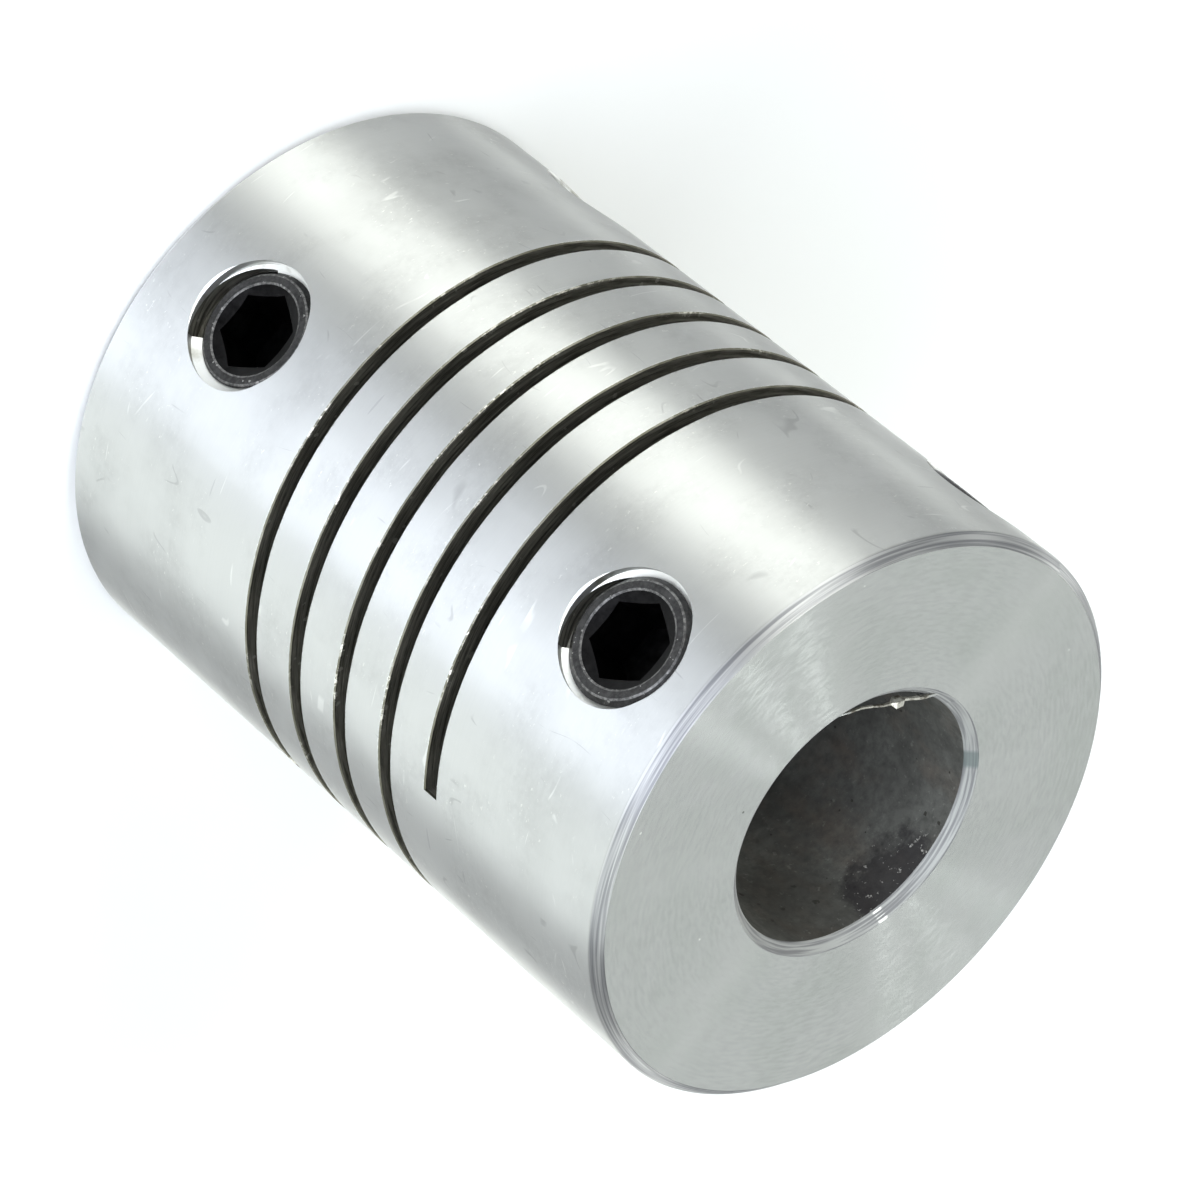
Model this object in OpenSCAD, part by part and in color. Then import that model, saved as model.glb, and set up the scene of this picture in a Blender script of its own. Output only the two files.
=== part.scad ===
// Flexible shaft coupling, cut from one bar as a helical beam.
// The axis is +Z. The origin is the centre of the small-bore end face, which it stands on.
// The front is -Y, where one set screw of each hub looks out.

/* [Body] */
// Outside diameter
body_d = 18; // [17:0.5:24]
// Overall length
body_l = 25; // [24:0.5:34]
// Chamfer on both outside rims
rim_chamfer = 0.35; // [0.1:0.05:0.8]

/* [Bores] */
// Bore of the upper hub
top_bore_d = 8; // [5:0.5:8]
// Bore of the lower hub
bottom_bore_d = 5; // [3:0.5:6]
// Depth of the upper bore, from the top face to the shoulder
top_bore_depth = 12.5; // [9:0.5:15]
// Chamfer at the mouth of each bore
mouth_chamfer = 0.28; // [0.1:0.02:0.6]

/* [Helical slot] */
// Width of the slot along the axis
slot_w = 0.5; // [0.3:0.05:0.9]
// Climb of the slot in one turn
slot_pitch = 2.12; // [1.8:0.02:2.3]
// From the top face down to the middle of the slot's upper end
slot_top_drop = 7.4; // [6.8:0.1:9]
// From the bottom face up to the middle of the slot's lower end
slot_bottom_rise = 8.06; // [7.4:0.02:9]
// Direction of the slot's upper end, anticlockwise from +X
slot_top_angle = -41.6; // [-180:0.1:180]

/* [Set screws] */
// Thread diameter of the screws
screw_d = 4; // [3:0.5:4]
// Length of each screw
screw_l = 4; // [3:0.5:4]
// From the top face down to the upper screws
top_screw_drop = 3.4; // [3.2:0.1:4]
// From the bottom face up to the lower screws
bottom_screw_rise = 4.3; // [3:0.1:4.8]
// Angle from the front screw to the side screw in each hub
screw_spread = 90; // [75:5:120]
// How deep the upper front screw sits below the outside
top_front_recess = 0.28; // [0.1:0.02:0.6]
// How deep the upper side screw sits below the outside
top_side_recess = 0.12; // [0.1:0.02:0.6]
// How deep the lower front screw sits below the outside
bottom_front_recess = 0.44; // [0.1:0.02:0.6]
// How deep the lower side screw sits below the outside
bottom_side_recess = 0.4; // [0.1:0.02:0.6]
// Width of the hexagon socket across its flats
socket_af = 2; // [1.5:0.1:2]
// Depth of the hexagon socket
socket_depth = 2; // [1:0.1:2.2]
// Chamfer round the socket end of a screw
screw_head_chamfer = 0.32; // [0.1:0.02:0.5]
// Chamfer round the cup end of a screw
screw_tip_chamfer = 0.5; // [0.2:0.05:0.6]
// Diameter of the cup point
cup_d = 2.4; // [1.2:0.1:2.4]
// Depth of the cup point
cup_depth = 0.5; // [0.3:0.05:0.6]
// Radial clearance between a screw and its hole
screw_clearance = 0.03; // [0.02:0.01:0.08]
// Breadth of the countersink round each hole
hole_countersink = 0.08; // [0.04:0.02:0.2]

/* [Hidden] */

body_r = body_d / 2;
top_bore_r = top_bore_d / 2;
bottom_bore_r = bottom_bore_d / 2;
shoulder_z = body_l - top_bore_depth;
screw_r = screw_d / 2;
hole_r = screw_r + screw_clearance;
top_screw_z = body_l - top_screw_drop;
bottom_screw_z = bottom_screw_rise;
front_angle = -90;
side_angle = front_angle - screw_spread;

// The slot is cut as a ribbon wound round the axis.
// It runs from inside the smaller bore to outside the body.
slot_inner_share = 0.8;
slot_overrun = 0.6;
slot_top_z = body_l - slot_top_drop;
slot_turns = (slot_top_z - slot_bottom_rise) / slot_pitch;
slot_steps_per_turn = 48;
slot_steps = ceil(slot_turns * slot_steps_per_turn);
slot_inner_r = min(top_bore_r, bottom_bore_r) * slot_inner_share;
slot_outer_r = body_r + slot_overrun;

// How far a cutter runs on past the face that it cuts
overrun = 1;

// Number of sides on round faces
round_sides = 96;
// Number of sides on the screws
screw_sides = 48;
// Number of sides of the socket
hexagon = 6;

// Breadth of the cone round the mouth of a screw's socket
socket_cone = 0.1;

// Angle and height of the slot's middle line at one step down from its upper end
function slot_angle(i) = slot_top_angle - 360 * slot_turns * i / slot_steps;
function slot_height(i) = slot_top_z - slot_pitch * slot_turns * i / slot_steps;

// Point on the ribbon at a step, a radius and a side of the middle line
function slot_point(i, r, side) = [
    r * cos(slot_angle(i)),
    r * sin(slot_angle(i)),
    slot_height(i) + side * slot_w / 2
];

// The four corners of the ribbon's section at a step
function slot_corners(i) = [
    slot_point(i, slot_inner_r, -1),
    slot_point(i, slot_outer_r, -1),
    slot_point(i, slot_outer_r, 1),
    slot_point(i, slot_inner_r, 1)
];

// The two triangles that join one side of the section to the next step
function slot_side(i, a, b) = [
    [4 * i + b, 4 * i + a, 4 * i + 4 + b],
    [4 * i + 4 + b, 4 * i + a, 4 * i + 4 + a]
];

// The helical slot, with a square end at each end of its run
module slot_cutter() {
    corners = [for (i = [0:slot_steps], p = slot_corners(i)) p];
    sides = [
        for (i = [0:slot_steps - 1], a = [0:3], t = slot_side(i, a, (a + 1) % 4)) t
    ];
    last = 4 * slot_steps;
    ends = [
        [0, 1, 2],
        [0, 2, 3],
        [last + 2, last + 1, last],
        [last + 3, last + 2, last]
    ];
    polyhedron(points = corners, faces = concat(sides, ends), convexity = 12);
}

// Half section of the turned blank, with both bores
module blank_section() {
    polygon([
        [bottom_bore_r + mouth_chamfer, 0],
        [body_r - rim_chamfer, 0],
        [body_r, rim_chamfer],
        [body_r, body_l - rim_chamfer],
        [body_r - rim_chamfer, body_l],
        [top_bore_r + mouth_chamfer, body_l],
        [top_bore_r, body_l - mouth_chamfer],
        [top_bore_r, shoulder_z],
        [bottom_bore_r, shoulder_z],
        [bottom_bore_r, mouth_chamfer]
    ]);
}

// Puts its children on a line that runs straight out of the body
module radially(angle, z) {
    translate([0, 0, z])
        rotate([0, 0, angle])
            rotate([0, 90, 0])
                children();
}

// One screw hole, drilled from the outside into the bore
module screw_hole(angle, z) {
    cone_h = hole_r + hole_countersink;
    radially(angle, z) {
        cylinder(h = body_r + overrun, r = hole_r, $fn = screw_sides);
        translate([0, 0, body_r - cone_h])
            cylinder(h = 2 * cone_h, r1 = 0, r2 = 2 * cone_h, $fn = screw_sides);
    }
}

module coupling_body() {
    color([0.76, 0.77, 0.78])
        difference() {
            rotate_extrude($fn = round_sides)
                blank_section();
            screw_hole(front_angle, top_screw_z);
            screw_hole(side_angle, top_screw_z);
            screw_hole(front_angle, bottom_screw_z);
            screw_hole(side_angle, bottom_screw_z);
            slot_cutter();
        }
}

// Half section of a screw, cup end down and socket end up
module screw_section() {
    polygon([
        [0, cup_depth],
        [cup_d / 2, 0],
        [screw_r - screw_tip_chamfer, 0],
        [screw_r, screw_tip_chamfer],
        [screw_r, screw_l - screw_head_chamfer],
        [screw_r - screw_head_chamfer, screw_l],
        [0, screw_l]
    ]);
}

// The hexagon socket and the cone at its mouth
module socket_cutter() {
    corner_r = socket_af / 2 / cos(180 / hexagon);
    mouth_r = corner_r + socket_cone;
    translate([0, 0, screw_l - socket_depth])
        cylinder(h = socket_depth + overrun, r = corner_r, $fn = hexagon);
    translate([0, 0, screw_l - mouth_r])
        cylinder(h = 2 * mouth_r, r1 = 0, r2 = 2 * mouth_r, $fn = screw_sides);
}

// A set screw with its socket end at its own depth below the outside
module set_screw(angle, z, recess) {
    color([0.13, 0.13, 0.14])
        radially(angle, z)
            translate([0, 0, body_r - recess - screw_l])
                difference() {
                    rotate_extrude($fn = screw_sides)
                        screw_section();
                    socket_cutter();
                }
}

module top_front_screw() {
    set_screw(front_angle, top_screw_z, top_front_recess);
}

module top_side_screw() {
    set_screw(side_angle, top_screw_z, top_side_recess);
}

module bottom_front_screw() {
    set_screw(front_angle, bottom_screw_z, bottom_front_recess);
}

module bottom_side_screw() {
    set_screw(side_angle, bottom_screw_z, bottom_side_recess);
}

coupling_body();
top_front_screw();
top_side_screw();
bottom_front_screw();
bottom_side_screw();
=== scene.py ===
import math

import bmesh
import bpy
from mathutils import Matrix, Vector, noise


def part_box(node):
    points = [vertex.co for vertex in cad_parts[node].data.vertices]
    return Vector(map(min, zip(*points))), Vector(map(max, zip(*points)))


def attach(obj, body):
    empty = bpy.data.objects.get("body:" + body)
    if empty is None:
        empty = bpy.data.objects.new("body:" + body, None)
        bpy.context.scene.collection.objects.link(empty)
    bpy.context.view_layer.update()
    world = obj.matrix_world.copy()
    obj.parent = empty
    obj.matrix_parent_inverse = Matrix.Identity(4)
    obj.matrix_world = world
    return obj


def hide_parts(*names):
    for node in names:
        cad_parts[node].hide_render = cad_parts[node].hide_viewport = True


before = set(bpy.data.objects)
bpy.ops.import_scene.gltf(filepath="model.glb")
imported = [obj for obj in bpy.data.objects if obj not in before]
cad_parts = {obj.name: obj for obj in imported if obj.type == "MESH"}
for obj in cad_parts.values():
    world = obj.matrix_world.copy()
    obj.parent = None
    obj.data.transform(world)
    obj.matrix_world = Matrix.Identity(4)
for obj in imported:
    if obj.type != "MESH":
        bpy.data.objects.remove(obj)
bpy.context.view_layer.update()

MM = 0.001

# How near two points count as one: on a cut plane, where a swept shape closes, between the turns
# of a thread, and after a cut, in the enlarged object
PLANE_WELD = 0.00001 * MM
END_WELD = 0.0001 * MM
THREAD_WELD = 0.0005 * MM
CRACK_WELD = 0.0005

# Radius of the hole that a turned solid has on its axis until it is plugged
AXIS_R = 0.05 * MM
CONE_AXIS_R = 0.01 * MM

# The body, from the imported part
body_low, body_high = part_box("coupling_body")
BODY_R = (body_high.x - body_low.x) / 2
BODY_L = body_high.z
RIM_CHAMFER = 0.3 * MM

# The bores
TOP_BORE_R = 4.0 * MM
BOTTOM_BORE_R = 2.5 * MM
SHOULDER_Z = 12.5 * MM
MOUTH_CHAMFER = 0.28 * MM
EDGE_BREAK = 0.02 * MM

# The helical slot, whose lip is eased by a flare that runs on past the outside
SLOT_W = 0.5 * MM
SLOT_PITCH = 2.12 * MM
SLOT_TOP_Z = 17.6 * MM
SLOT_BOTTOM_Z = 8.06 * MM
SLOT_TOP_ANGLE = -41.6
SLOT_TURNS = (SLOT_TOP_Z - SLOT_BOTTOM_Z) / SLOT_PITCH
SLOT_INNER_R = 2.0 * MM
SLOT_STEPS_PER_TURN = 120
SLOT_LIP = 0.035 * MM
SLOT_FLARE = 8 * SLOT_LIP

# How far the saw strays from a true helix, the seed of its path, and the waves that make it up:
# how quick each one is, how strong, and its own layer of noise
SLOT_WANDER = 0.022 * MM
WANDER_SEED = 3
WANDER_WAVES = [(1.3, 1.0, 0), (7, 0.5, 5)]

# The set screws and their holes
SCREW_L = 4.0 * MM
SCREW_R = 1.98 * MM
SCREW_CORE_R = 1.62 * MM
THREAD_PITCH = 0.7 * MM
THREAD_CLEARANCE = 0.045 * MM
HOLE_R = 2.03 * MM
HOLE_COUNTERSINK = 0.07 * MM
COUNTERSINK_OVERRUN = 5 * HOLE_COUNTERSINK
TAP_START = 0.62 * MM
TAP_FLOOR = 1 * MM
TAP_OVERRUN = 0.5 * MM
ENTRY_TIP = 1.2 * MM
ENTRY_SHOULDER = 0.3 * MM
HEAD_CHAMFER = 0.16 * MM
HEAD_R = 1.87 * MM
HEAD_L = 0.45 * MM
TIP_CHAMFER = 0.5 * MM
CUP_R = 1.2 * MM
CUP_DEPTH = 0.5 * MM
SOCKET_AF = 2.2 * MM
SOCKET_DEPTH = 2.0 * MM
SOCKET_TURN = math.pi / 6
SOCKET_MOUTH_R = 1.45 * MM
SOCKET_MOUTH_DEPTH = 0.6 * MM
RUBBED_W = 0.06 * MM

# One turn of thread: 0 at its core and 1 at its crest, and eighths of the pitch up
THREAD_SHAPE = [(0, 0), (0, 1), (1, 3.5), (1, 4.5), (0, 7), (0, 8)]

# The first thread groove, which opens at the mouth of each hole and sinks as it winds in
RUN_IN_ANGLE = math.radians(-51)
RUN_IN_SWEEP = math.radians(-104)
RUN_IN_DROP = -0.44 * MM
RUN_IN_INNER_R = 1.75 * MM
RUN_IN_R = 2.2 * MM
RUN_IN_TOP = 0.05 * MM
RUN_IN_W = 0.85 * MM

# A torn curl of metal left hanging at the mouth of the upper bore, with a flake in its middle:
# degrees and millimetres to each point, and how many times its own thickness it is there. Its path
# rises and falls as it goes, by so much and by so many radians from point to point
CHIP_PATH = [
    (247, 4.22, 0.8), (242, 4.13, 0.8), (237, 4.04, 0.8), (231, 3.92, 0.8), (225, 3.82, 0.8),
    (219, 3.75, 0.9), (214.5, 3.72, 1.0), (213, 3.74, 3.4), (209.5, 3.8, 3.0), (207.5, 3.82, 1.2),
    (203, 3.86, 1.0), (198, 3.92, 1.3), (194, 4.0, 1.2), (190, 4.2, 1.0),
]
CHIP_Z = 24.82 * MM
CHIP_THICK = 0.05 * MM
CHIP_W = 0.07 * MM
CHIP_CURL = 0.05 * MM
CHIP_CURL_STEP = 2.2

SCREWS = ["top_front_screw", "top_side_screw", "bottom_front_screw", "bottom_side_screw"]

# Finishes of the body's faces and of a screw's faces, in the order of their materials
SIDE, END, BORE, SLOT, HOLE, RIM, MOUTH, CHIP = range(8)
BLACK, RUBBED, SOCKET = range(3)

# The turned side and what marks it
ALUMINIUM = (0.705, 0.71, 0.705)
ALUMINIUM_DULL = (0.62, 0.625, 0.62)
GROOVE_GREY = (0.45, 0.45, 0.46)
SCRATCH_GREY = (0.4, 0.4, 0.42)
BURR_BROWN = (0.3, 0.29, 0.26)
WORN_WHITE = (0.95, 0.95, 0.91)
GRAIN_GREY = (0.45, 0.45, 0.45)
HAIRLINE_PALE = (0.98, 0.98, 0.97)
HAIRLINE_DARK = (0.3, 0.3, 0.31)
NICK_WHITE = (0.98, 0.98, 0.95)

# The faced ends, the rims and the mouths of the bores
FACE_DULL = (0.64, 0.66, 0.64)
FACE_GROOVE = (0.5, 0.51, 0.5)
PIT_DARK = (0.12, 0.12, 0.11)
# Painted highlight: the white of small glinting specks on the faced ends
PAINTED_GLINT_WHITE = (0.97, 0.97, 0.95)
RIM_PALE = (0.8, 0.8, 0.81)
RIM_DARK = (0.42, 0.42, 0.45)
MOUTH_PALE = (0.5, 0.505, 0.5)
MOUTH_DARK = (0.3, 0.3, 0.31)
# A darker colour for one patch on the mouth chamfers
MOUTH_PATCH_DARK = (0.2, 0.24, 0.24)
# Painted highlight: the white of a glint painted on the mouth chamfers
MOUTH_GLINT_PAINT = (1.0, 1.0, 0.98)

# The bored wall, the dirt and swarf on it, and a dark band of painted shade below the mouth
BORE_PALE = (0.2, 0.2, 0.185)
BORE_DARK = (0.11, 0.108, 0.1)
BORE_BROWN = (0.17, 0.135, 0.11)
BORE_MOTTLE = (0.06, 0.06, 0.055)
BORE_DIRT = (0.04, 0.035, 0.03)
BORE_SHADE_DARK = (0.05, 0.048, 0.044)
SWARF_DARK = (0.03, 0.026, 0.03)
SWARF_CHIP = (0.7, 0.68, 0.64)

# The sawn slot, the tapped holes and the torn curl
# Painted shade: the dark base of the slot's walls, also laid in the gap at each hole's thread run-in
SAWN_SHADE_DARK = (0.12, 0.115, 0.095)
SAWN_PALE = (0.4, 0.385, 0.34)
STREAK_PALE = (0.75, 0.73, 0.66)
# Painted shade: darkens the slot's flared lip
LIP_SHADE_OLIVE = (0.13, 0.125, 0.09)
FLECK_PALE = (0.8, 0.78, 0.72)
TAPPED_PALE = (0.78, 0.78, 0.77)
TAPPED_STAIN = (0.4, 0.39, 0.34)
CURL_PALE = (0.7, 0.68, 0.62)
CURL_DARK = (0.2, 0.18, 0.15)

# Black oxide at its darkest, at its palest and where it is worn
OXIDE_DARK = (0.02, 0.02, 0.021)
OXIDE_LIGHT = (0.055, 0.053, 0.055)
OXIDE_WORN = (0.3, 0.295, 0.29)

# Turns the drawn-out highlights from round the axis to along it
QUARTER_TURN = 0.25

# Where a Mix node that blends colours keeps its share, its two colours and its result
MIX_SOCKETS = (0, 6, 7)
MIX_RESULT = 2

# Edges sharper than this stay crisp, in degrees
SMOOTH_ANGLE = 15

# Numbers of sides
BODY_SIDES = 192
SCREW_SIDES = 64
RUN_IN_STEPS = SCREW_SIDES // 3
HEXAGON_SIDES = 6
FLOOR_SIDES = 96

# How closely a face's normal lies along a direction: flat to it, facing it, sloping, and the least
# and the most for a rubbed land on a screw
FLAT = 0.95
FACING = 0.9
SLOPING = 0.3

LAND_LEAST = 0.2
LAND_MOST = 0.97

# How far a face may lie from a nominal surface and still belong to it
END_REACH = 1.2 * max(RIM_CHAMFER, MOUTH_CHAMFER)
RIM_REACH = 1.5 * RIM_CHAMFER
BORE_REACH = 0.1 * MM
SHOULDER_REACH = 0.05 * MM

# The camera, fitted to the outline of the photographed part
CAMERA_DISTANCE = 180.47 * MM
CAMERA_AZIMUTH = -0.85
CAMERA_ELEVATION = 37.86
CAMERA_ROLL = 129.61
CAMERA_RIGHT = 0.597 * MM
CAMERA_UP = -0.224 * MM
FOCAL_PIXELS = 6356
IMAGE_PIXELS = 1200
SENSOR = 36
NEAREST_SEEN = 10 * MM
FARTHEST_SEEN = 20

# Tints of the lamps
WARM_WHITE = (0.99, 1.02, 0.955)
COOL_WHITE = (0.92, 0.985, 1.085)
SKY_WHITE = (0.95, 1.02, 0.99)
GREEN_WHITE = (0.955, 1.01, 0.985)

# Softboxes on a ring round the object: direction and breadth, lowest and highest elevation, all
# in degrees, direction from +X; then how bright each one looks, and its tint
LAMP_DISTANCE = 1.0
SOFTBOXES = {
    "left_strip": (216, 34, 8, 60, 3.9, WARM_WHITE),
    "key_box": (297.5, 40, 8, 60, 3.6, COOL_WHITE),
    "key_edge": (266, 22, 8, 60, 1.8, COOL_WHITE),
    "fill_box": (342.5, 51, 8, 60, 2.15, SKY_WHITE),
    "rear_strip": (49, 22, 3, 13, 6.7, WARM_WHITE),
    "rear_left_strip": (155, 6, 6, 24, 3.7, WARM_WHITE),
    "rear_left_edge": (123.5, 9, 4, 18, 7.8, WARM_WHITE),
    "side_strip": (184, 21, 8, 60, 0.5, WARM_WHITE),
    "face_box": (92, 64, 22, 62, 0.65, GREEN_WHITE),
    "back_left_box": (150, 50, 31, 62, 0.36, GREEN_WHITE),
    "back_right_box": (34, 50, 31, 62, 0.32, GREEN_WHITE),
    "face_glow": (95.5, 22, 54, 62, 0.6, SKY_WHITE),
    "glint_left": (110.5, 1.2, 61.5, 66.5, 110.0, SKY_WHITE),
    "glint_middle": (97.5, 1.2, 63.5, 68.5, 100.0, SKY_WHITE),
    "glint_right": (84.5, 1.2, 63.5, 68.5, 72.0, SKY_WHITE),
}

# The tent round them: height in it, from 0 at the horizon to 1 overhead, and its grey level there
TENT_LEVELS = [(0.0, 0.97), (0.12, 0.97), (0.17, 0.05), (0.8, 0.05), (1.0, 0.6)]

# The floor
FLOOR_R = 1.5
FLOOR_WHITE = (0.94, 0.94, 0.94)


def only(obj):
    """Leaves one object selected and active."""
    if bpy.context.object and bpy.context.object.mode != "OBJECT":
        bpy.ops.object.mode_set(mode="OBJECT")
    bpy.ops.object.select_all(action="DESELECT")
    obj.select_set(True)
    bpy.context.view_layer.objects.active = obj


def apply_place(obj):
    """Puts an object's place, turn and scale into its mesh."""
    only(obj)
    bpy.ops.object.transform_apply(location=True, rotation=True, scale=True)


def modify(obj, kind, **settings):
    """Adds a modifier and applies it."""
    only(obj)
    modifier = obj.modifiers.new(kind.lower(), kind)
    for key, value in settings.items():
        setattr(modifier, key, value)
    bpy.ops.object.modifier_apply(modifier=modifier.name)


def rescale(obj, factor):
    """Scales an object's mesh about the origin."""
    obj.scale = (factor, factor, factor)
    apply_place(obj)


def cut(obj, tool, operation="DIFFERENCE"):
    """Cuts an object with a tool, which is used up. Both are enlarged meanwhile, for fine edges."""
    rescale(obj, 1 / MM)
    rescale(tool, 1 / MM)
    modify(obj, "BOOLEAN", object=tool, operation=operation, solver="EXACT")
    bpy.data.objects.remove(tool)
    close_cracks(obj)
    rescale(obj, MM)


def close_cracks(obj):
    """Welds points that a cut left a hair apart and fills what gaps remain, on an enlarged object."""
    only(obj)
    bpy.ops.object.mode_set(mode="EDIT")
    bpy.ops.mesh.select_all(action="SELECT")
    bpy.ops.mesh.remove_doubles(threshold=CRACK_WELD)
    bpy.ops.mesh.dissolve_degenerate(threshold=CRACK_WELD)
    bpy.ops.mesh.select_all(action="SELECT")
    bpy.ops.mesh.fill_holes(sides=0)
    bpy.ops.mesh.select_all(action="SELECT")
    bpy.ops.mesh.delete_loose()
    bpy.ops.object.mode_set(mode="OBJECT")


def turned(name, section, sides):
    """Extrudes a ring from corner to corner of a closed half section, and bridges it to its start."""
    radius, height = section[0]
    bpy.ops.object.select_all(action="DESELECT")
    bpy.ops.mesh.primitive_circle_add(vertices=sides, radius=radius, location=(0, 0, height))
    obj = bpy.context.object
    obj.name = name
    apply_place(obj)
    bpy.ops.object.mode_set(mode="EDIT")
    bpy.ops.mesh.select_all(action="SELECT")
    for next_radius, next_height in section[1:]:
        grow = next_radius / radius
        bpy.ops.mesh.extrude_edges_move()
        bpy.ops.transform.resize(value=(grow, grow, 1), center_override=(0, 0, 0))
        bpy.ops.transform.translate(value=(0, 0, next_height - height))
        radius, height = next_radius, next_height
    bpy.ops.mesh.select_all(action="DESELECT")
    bpy.ops.mesh.select_non_manifold(extend=False)
    bpy.ops.mesh.bridge_edge_loops()
    bpy.ops.mesh.select_all(action="SELECT")
    bpy.ops.mesh.normals_make_consistent(inside=False)
    bpy.ops.object.mode_set(mode="OBJECT")
    return obj


def softened(corners, size):
    """Breaks each corner of a closed section with two points, a little way along its sides."""
    out = []
    for i, corner in enumerate(corners):
        here = Vector(corner)
        for other in (corners[i - 1], corners[(i + 1) % len(corners)]):
            along = Vector(other) - here
            out.append(tuple(here + along.normalized() * min(size, along.length / 3)))
    return out


def turned_blank():
    """The bar, turned and bored from both ends."""
    corners = [
        (BOTTOM_BORE_R + MOUTH_CHAMFER, 0),
        (BODY_R - RIM_CHAMFER, 0),
        (BODY_R, RIM_CHAMFER),
        (BODY_R, BODY_L - RIM_CHAMFER),
        (BODY_R - RIM_CHAMFER, BODY_L),
        (TOP_BORE_R + MOUTH_CHAMFER, BODY_L),
        (TOP_BORE_R, BODY_L - MOUTH_CHAMFER),
        (TOP_BORE_R, SHOULDER_Z),
        (BOTTOM_BORE_R, SHOULDER_Z),
        (BOTTOM_BORE_R, MOUTH_CHAMFER),
    ]
    return turned("coupling", softened(corners, EDGE_BREAK), BODY_SIDES)


def wander(angle):
    """How far the slot strays from a true helix, at an angle in radians along it."""
    return sum(
        strength * noise.noise(Vector((angle * quick, WANDER_SEED, layer)))
        for quick, strength, layer in WANDER_WAVES
    )


def slot_cutter():
    """A saw-wide ribbon wound down the beam, flared where it leaves the outside to ease the lip."""
    inner, outer = SLOT_INNER_R, BODY_R - SLOT_LIP
    start = math.radians(SLOT_TOP_ANGLE - 360 * SLOT_TURNS)
    bpy.ops.object.select_all(action="DESELECT")
    bpy.ops.mesh.primitive_plane_add(
        size=1, location=((inner + outer) / 2, 0, 0), rotation=(math.pi / 2, 0, 0)
    )
    tool = bpy.context.object
    tool.scale = (outer - inner, SLOT_W, 1)
    apply_place(tool)
    bpy.ops.object.mode_set(mode="EDIT")
    bpy.ops.mesh.delete(type="ONLY_FACE")
    mesh = bmesh.from_edit_mesh(tool.data)
    for edge in mesh.edges:
        edge.select = all(v.co.x > outer - SLOT_LIP / 2 for v in edge.verts)
    bmesh.update_edit_mesh(tool.data)
    bpy.ops.mesh.extrude_edges_move()
    bpy.ops.transform.translate(value=(SLOT_FLARE, 0, 0))
    bpy.ops.transform.resize(value=(1, 1, (SLOT_W + 2 * SLOT_FLARE) / SLOT_W))
    mesh = bmesh.from_edit_mesh(tool.data)
    shared = [e for e in mesh.edges if all(abs(v.co.x - outer) < SLOT_LIP / 2 for v in e.verts)]
    bmesh.ops.delete(mesh, geom=list(mesh.faces), context="FACES_ONLY")
    bmesh.ops.delete(mesh, geom=shared, context="EDGES")
    bmesh.update_edit_mesh(tool.data)
    bpy.ops.object.mode_set(mode="OBJECT")
    tool.rotation_euler = (0, 0, start)
    tool.location = (0, 0, SLOT_BOTTOM_Z)
    apply_place(tool)
    steps = round(SLOT_TURNS * SLOT_STEPS_PER_TURN)
    modify(
        tool, "SCREW", angle=math.radians(360 * SLOT_TURNS), screw_offset=SLOT_TURNS * SLOT_PITCH,
        steps=steps, render_steps=steps, use_merge_vertices=False,
    )
    close_ends(tool)
    for vertex in tool.data.vertices:
        angle = math.atan2(vertex.co.y, vertex.co.x)
        turn = round((vertex.co.z - SLOT_BOTTOM_Z) / SLOT_PITCH - (angle - start) / math.tau)
        along = angle + math.tau * turn
        vertex.co.z += SLOT_WANDER * wander(along)
    return tool


def close_ends(obj):
    """Closes the open ends of a swept shape and turns its faces outwards."""
    only(obj)
    bpy.ops.object.mode_set(mode="EDIT")
    bpy.ops.mesh.select_all(action="SELECT")
    bpy.ops.mesh.remove_doubles(threshold=END_WELD)
    bpy.ops.mesh.fill_holes(sides=0)
    bpy.ops.mesh.select_all(action="SELECT")
    bpy.ops.mesh.normals_make_consistent(inside=False)
    bpy.ops.object.mode_set(mode="OBJECT")


def profile_line(name, points):
    """Draws an open half section by extruding one vertex from point to point."""
    bpy.ops.object.select_all(action="DESELECT")
    bpy.ops.mesh.primitive_plane_add(size=1 * MM, location=(points[0][0], 0, points[0][1]))
    obj = bpy.context.object
    obj.name = name
    apply_place(obj)
    bpy.ops.object.mode_set(mode="EDIT")
    bpy.ops.mesh.select_all(action="SELECT")
    bpy.ops.mesh.merge(type="CENTER")
    for (r0, z0), (r1, z1) in zip(points, points[1:]):
        bpy.ops.mesh.extrude_vertices_move(TRANSFORM_OT_translate={"value": (r1 - r0, 0, z1 - z0)})
    bpy.ops.object.mode_set(mode="OBJECT")
    return obj


def threaded_rod(name, core_r, crest_r, low, high):
    """A rod with a right-hand thread, cut square at both ends."""
    turns = math.ceil((high - low) / THREAD_PITCH) + 2
    start = math.floor(low / THREAD_PITCH - 1) * THREAD_PITCH
    section = []
    for at_crest, eighths in THREAD_SHAPE:
        radius = crest_r if at_crest else core_r
        section.append((radius, eighths * THREAD_PITCH / 8 + start))
    rod = profile_line(name, section)
    modify(
        rod, "SCREW", angle=math.tau, screw_offset=THREAD_PITCH, iterations=turns,
        steps=SCREW_SIDES, render_steps=SCREW_SIDES, use_merge_vertices=False,
    )
    only(rod)
    bpy.ops.object.mode_set(mode="EDIT")
    bpy.ops.mesh.select_all(action="SELECT")
    bpy.ops.mesh.remove_doubles(threshold=THREAD_WELD)
    for height, side in ((low, 1), (high, -1)):
        bpy.ops.mesh.select_all(action="SELECT")
        bpy.ops.mesh.bisect(
            plane_co=(0, 0, height), plane_no=(0, 0, side), use_fill=True, clear_inner=True,
            threshold=PLANE_WELD,
        )
    bpy.ops.mesh.select_all(action="SELECT")
    bpy.ops.mesh.normals_make_consistent(inside=False)
    bpy.ops.object.mode_set(mode="OBJECT")
    return rod


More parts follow.
